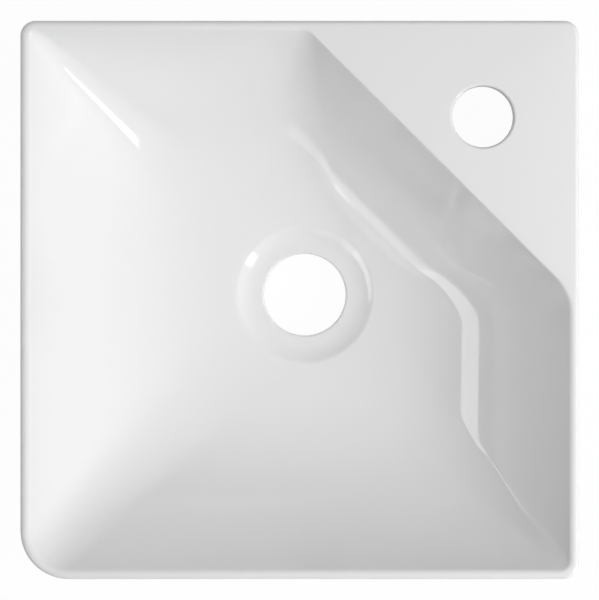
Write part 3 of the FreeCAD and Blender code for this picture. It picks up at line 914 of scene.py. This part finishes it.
# %% [markdown]
# ## Where the clay is bare
# The two wall faces and the feet are wiped bare before firing, because glaze would stick them to
# the kiln's props. Their faces could be picked and given a material of their own. A mask made
# from the place on the piece needs no picking: it is 1 within about a third of a millimetre of
# the two walls and of the ground, and 0 elsewhere.

# %% Mask of the bare clay
BARE_DEPTH = 0.35 * MM
BARE_PLANES = (("X", HALF, 1), ("Y", HALF, 1), ("Z", 0.0, -1))


def bare_clay_mask(tree):
    """One on the wall faces and the feet, nought on the glaze."""
    place = add_node(tree, "TexCoord")
    axes = add_node(tree, "SeparateXYZ")
    wire(tree, (place.outputs["Object"], axes.inputs["Vector"]))
    mask = None
    for axis, edge, sign in BARE_PLANES:
        depth = add_node(
            tree, "Math", {1: sign, 2: BARE_DEPTH - sign * edge}, operation="MULTIPLY_ADD")
        bare = add_node(tree, "Math", {1: 0.0}, operation="GREATER_THAN")
        wire(tree, (axes.outputs[axis], depth.inputs[0]), (depth.outputs["Value"], bare.inputs[0]))
        if mask:
            either = add_node(tree, "Math", operation="MAXIMUM")
            wire(tree, (mask, either.inputs[0]), (bare.outputs["Value"], either.inputs[1]))
            bare = either
        mask = bare.outputs["Value"]
    return mask


print("planes of bare clay:", len(BARE_PLANES))

# %% [markdown]
# ## Glaze
# Sanitary glaze is an opaque white glass about a millimetre thick: a hard, clear gloss over a
# nearly neutral white. It pools a little, so its gloss and its surface vary very slightly. The
# bare clay is matt and warmer. One material holds both, and the mask chooses between them.

# %% Glazed ceramic
GLAZE = (0.9, 0.9, 0.9)
GLAZE_DEEP = (0.875, 0.878, 0.88)
GLAZE_ROUGHNESS = (0.04, 0.07)
CLAY = (0.79, 0.77, 0.73)
CLAY_DARK = (0.72, 0.70, 0.66)
CLAY_ROUGHNESS = 0.85


def make_glaze():
    """White gloss glaze, with bare clay where the mask is 1."""
    material, tree, shader = new_material("white_gloss_glaze")
    mask = bare_clay_mask(tree)
    glaze = add_drift(tree, GLAZE, GLAZE_DEEP, scale=9.0, amount=0.6)
    clay = add_drift(tree, CLAY, CLAY_DARK, scale=160.0, amount=0.7)
    colour = add_node(tree, "Mix", data_type="RGBA")
    low, high = GLAZE_ROUGHNESS
    pooling = noise_on(tree, detail=2.0, scale=140.0)
    gloss = add_node(tree, "MapRange", {"To Min": low, "To Max": high})
    rough = add_node(tree, "Mix", {"B": CLAY_ROUGHNESS})
    wire(
        tree,
        (mask, colour.inputs["Factor"]),
        (glaze.outputs["Colour"], colour.inputs["A"]),
        (clay.outputs["Colour"], colour.inputs["B"]),
        (colour.outputs["Result"], shader.inputs["Base Color"]),
        (pooling.outputs["Fac"], gloss.inputs["Value"]),
        (mask, rough.inputs["Factor"]),
        (gloss.outputs["Result"], rough.inputs["A"]),
        (rough.outputs["Result"], shader.inputs["Roughness"]),
    )
    add_ripple(
        tree, shader, wave=14.0, grain=700.0, share=0.004, strength=0.25, distance=0.4 * MM)
    return material


def finish_with(piece, material):
    """Put one material in every slot of a piece."""
    if not piece.data.materials:
        piece.data.materials.append(material)
    for slot in piece.material_slots:
        slot.material = material


glaze = make_glaze()
finish_with(glazed_basin, glaze)
print("finish:", glaze.name, "with", len(glaze.node_tree.nodes), "nodes")

# %% [markdown]
# ## Zinc plated steel
# The hangers are pressed from strip and zinc plated: bright, slightly cloudy, and brushed along
# the strip. The cloud is the tone drift. The brushing is a noise that is stretched along the
# strip and changes the roughness. Their shape is already right, so they only get a finish.

# %% Steel
STEEL = (0.66, 0.67, 0.69)
STEEL_CLOUD = (0.50, 0.51, 0.53)
STEEL_ROUGHNESS = (0.22, 0.46)
BRUSHED = (1, 1, 0.04)


def make_steel():
    """Bright zinc plate, cloudy and brushed."""
    material, tree, shader = new_material("zinc_plated_steel")
    tone = add_drift(tree, STEEL, STEEL_CLOUD, scale=120.0, amount=0.8)
    shader.inputs["Metallic"].default_value = 1.0
    low, high = STEEL_ROUGHNESS
    brushed = noise_on(tree, detail=4.0, scale=600.0, stretch=BRUSHED)
    rough = add_node(tree, "MapRange", {"To Min": low, "To Max": high})
    wire(
        tree,
        (tone.outputs["Colour"], shader.inputs["Base Color"]),
        (brushed.outputs["Fac"], rough.inputs["Value"]),
        (rough.outputs["Result"], shader.inputs["Roughness"]),
    )
    add_ripple(
        tree, shader, wave=90.0, grain=2200.0, share=0.4, strength=0.35, distance=0.05 * MM)
    return material


steel = make_steel()
print("finish:", steel.name, "with", len(steel.node_tree.nodes), "nodes")

# %% [markdown]
# ## Rubber and nylon
# The pads are moulded rubber, nearly black and matt. The sleeves are natural nylon, an off-white
# plastic with a soft shine. Both come out of a mould, so one recipe serves both: a little drift
# of tone, gloss that drifts with it, and the mould's fine grain.

# %% Rubber and nylon
RUBBER = (0.045, 0.045, 0.048)
RUBBER_GREY = (0.075, 0.075, 0.075)
NYLON = (0.84, 0.83, 0.79)
NYLON_DULL = (0.78, 0.77, 0.72)
ROUGHNESS_DRIFT = 0.06


def make_moulded(name, tone, drift, roughness, grain, strength):
    """A moulded plastic or rubber, whose gloss drifts with its tone."""
    material, tree, shader = new_material(name)
    colour = add_drift(tree, tone, drift, scale=220.0, amount=0.8)
    low, high = roughness - ROUGHNESS_DRIFT, roughness + ROUGHNESS_DRIFT
    rough = add_node(tree, "MapRange", {"To Min": low, "To Max": high})
    wire(
        tree,
        (colour.outputs["Colour"], shader.inputs["Base Color"]),
        (colour.outputs["Share"], rough.inputs["Value"]),
        (rough.outputs["Result"], shader.inputs["Roughness"]),
    )
    add_ripple(
        tree, shader, wave=160.0, grain=grain, share=0.5, strength=strength, distance=0.08 * MM)
    return material


rubber = make_moulded(
    "moulded_rubber", RUBBER, RUBBER_GREY, roughness=0.62, grain=3000.0, strength=0.5)
nylon = make_moulded(
    "natural_nylon", NYLON, NYLON_DULL, roughness=0.36, grain=1800.0, strength=0.2)
FITTINGS = {"wall_hanger": steel, "hook_pad": rubber, "anchor_sleeve": nylon}
for hand in ("right", "left"):
    for fitting, material in FITTINGS.items():
        finish_with(frame["nodes"][f"{hand}_{fitting}"], material)
print("fittings finished:", 2 * len(FITTINGS))

# %% [markdown]
# ## Floor and background
# The photograph has a pure white ground, which was cut out. A white card would do for it, but
# its light would fill the basin's shadow. Through Light Path the floor looks white to the
# camera, and it still takes the shadow from its plain diffuse side. In reflections it is only
# about half as bright, because the white of a cut-out lights nothing. Seen from below it lets
# the camera through, so that the underside can be looked at.

# %% Floor
FLOOR_REACH = 4.0
FLOOR_GREY = 0.85
WHITE_SHARE = 0.97
MIRRORED_SHARE = 0.45


def make_ground_material():
    """White to the camera, matt to the lamps, and clear from below."""
    material, tree, shader = new_material("white_ground")
    tree.nodes.remove(shader)
    surface = tree.nodes["Material Output"].inputs["Surface"]
    matt = add_node(tree, "BsdfDiffuse", {"Color": (FLOOR_GREY, FLOOR_GREY, FLOOR_GREY, 1)})
    glow, clear = add_node(tree, "Emission"), add_node(tree, "BsdfTransparent")
    seen, side = add_node(tree, "MixShader"), add_node(tree, "MixShader")
    path, place = add_node(tree, "LightPath"), add_node(tree, "NewGeometry")
    direct = add_node(tree, "Math", {1: WHITE_SHARE}, operation="MULTIPLY")
    share = add_node(tree, "Math", {1: MIRRORED_SHARE}, operation="MULTIPLY_ADD")
    wire(
        tree,
        (path.outputs["Is Camera Ray"], direct.inputs[0]),
        (path.outputs["Is Glossy Ray"], share.inputs[0]),
        (direct.outputs["Value"], share.inputs[2]),
        (share.outputs["Value"], seen.inputs["Fac"]),
        (matt.outputs["BSDF"], seen.inputs[1]),
        (glow.outputs["Emission"], seen.inputs[2]),
        (place.outputs["Backfacing"], side.inputs["Fac"]),
        (seen.outputs["Shader"], side.inputs[1]),
        (clear.outputs["BSDF"], side.inputs[2]),
        (side.outputs["Shader"], surface),
    )
    return material


builder = bmesh.new()
bmesh.ops.create_grid(builder, x_segments=1, y_segments=1, size=FLOOR_REACH)
ground = mesh_object("ground", builder)
finish_with(ground, make_ground_material())
print("floor's width in metres:", 2 * FLOOR_REACH)

# %% [markdown]
# ## Soft light
# A glossy white bowl is mostly a picture of its lights. Three soft lamps shade the slopes, and
# are hidden from reflections, as diffusers outside the mirror angle would be. A lamp is placed
# by the direction that it shines from, because that is what a photographer moves. Its strength
# is given per area, so that a lamp can change its size without changing how bright it looks.

# %% Soft lamps
AIM = Vector((0, 0, 0.06))
LAMP_DISTANCE = 2.0
SOFT_SIDE = 1.6


def panel(name, azimuth, elevation, width, height, radiance, roll=0):
    """A lamp that faces the basin from a direction in degrees."""
    lamp = bpy.data.lights.new(name, "AREA")
    lamp.shape = "RECTANGLE"
    lamp.size, lamp.size_y = width, height
    lamp.energy = radiance * width * height * math.pi
    holder = bpy.data.objects.new(name, lamp)
    bpy.context.scene.collection.objects.link(holder)
    turn, tilt = math.radians(azimuth), math.radians(elevation)
    level_share, rise_share = math.cos(tilt), math.sin(tilt)
    outward = Vector((level_share * math.cos(turn), level_share * math.sin(turn), rise_share))
    holder.location = AIM + outward * LAMP_DISTANCE
    rolled = Quaternion((0, 0, 1), math.radians(roll))
    holder.rotation_euler = (outward.to_track_quat("Z", "Y") @ rolled).to_euler()
    return holder


def soft_lamp(name, azimuth, elevation, radiance):
    """A wide lamp that lights the basin and shows in no reflection."""
    panel(name, azimuth, elevation, SOFT_SIDE, SOFT_SIDE, radiance).visible_glossy = False


soft_lamp("soft_right", azimuth=-22, elevation=40, radiance=3.7)
soft_lamp("soft_top", azimuth=0, elevation=80, radiance=1.3)
soft_lamp("soft_left", azimuth=160, elevation=25, radiance=0.6)
print("soft lamps:", [light.name for light in bpy.data.lights])

# %% [markdown]
# ## Reflection cards
# Five cards are seen in the glaze only. The tall one draws the crisp streak on the hip and the
# spot on the brow of the recess. The others follow one another, and draw the streak that runs
# below the tap deck, turns at its end and tapers down the right slope. They are lamps too,
# because a real card would throw a shadow.

# %% Reflection cards
def card(name, azimuth, elevation, width, height, radiance, roll=0):
    """A lamp that shows in reflections and lights nothing else."""
    panel(name, azimuth, elevation, width, height, radiance, roll).visible_diffuse = False


card("hip_card", azimuth=-33, elevation=30, width=0.35, height=1.6, radiance=5.5)
card("deck_card", azimuth=241, elevation=33, width=1.2, height=0.42, radiance=1.5)
card("wide_card", azimuth=226, elevation=38, width=0.5, height=1.1, radiance=1.2)
card("side_card", azimuth=199, elevation=34, width=1.45, height=0.5, radiance=3.7, roll=6)
card("tail_card", azimuth=168, elevation=16, width=0.75, height=0.24, radiance=2.6, roll=30)

# %% [markdown]
# ## The room's own light
# A studio is never black beyond its lamps, so the world gives an even, dim light from all sides.
# To the camera the same world is white, as the cut-out ground is. Light Path tells the two
# apart.

# %% World
AMBIENT = 0.18


def make_world():
    """Dim to the basin and white to the camera."""
    world = bpy.data.worlds.new("studio")
    bpy.context.scene.world = world
    world.use_nodes = True
    tree = world.node_tree
    soft = tree.nodes["Background"]
    soft.inputs["Color"].default_value = (AMBIENT, AMBIENT, AMBIENT, 1)
    white = add_node(tree, "Background", {"Color": (1, 1, 1, 1)})
    path, mix = add_node(tree, "LightPath"), add_node(tree, "MixShader")
    wire(
        tree,
        (path.outputs["Is Camera Ray"], mix.inputs["Fac"]),
        (soft.outputs["Background"], mix.inputs[1]),
        (white.outputs["Background"], mix.inputs[2]),
        (mix.outputs["Shader"], tree.nodes["World Output"].inputs["Surface"]),
    )
    return world


print("world:", make_world().name, "at", AMBIENT)

# %% [markdown]
# ## Camera
# The photograph looks straight down from a good distance with a long lens, so the sides hardly
# lean. The camera stands over the middle of the square, and its lens is set so that the rim
# fills as much of the frame as it does there.

# %% Camera
CAMERA_RISE = 1.9
LENS = 212.4
SENSOR = 36.0
camera_data = bpy.data.cameras.new("camera")
camera_data.lens = LENS
camera_data.sensor_width = SENSOR
camera = bpy.data.objects.new("camera", camera_data)
bpy.context.scene.collection.objects.link(camera)
camera.location = (0.0, 0.0, TOP + CAMERA_RISE)
bpy.context.scene.camera = camera
bpy.context.scene.view_settings.view_transform = "Standard"
print("camera's height in metres:", round(camera.location.z, 3))
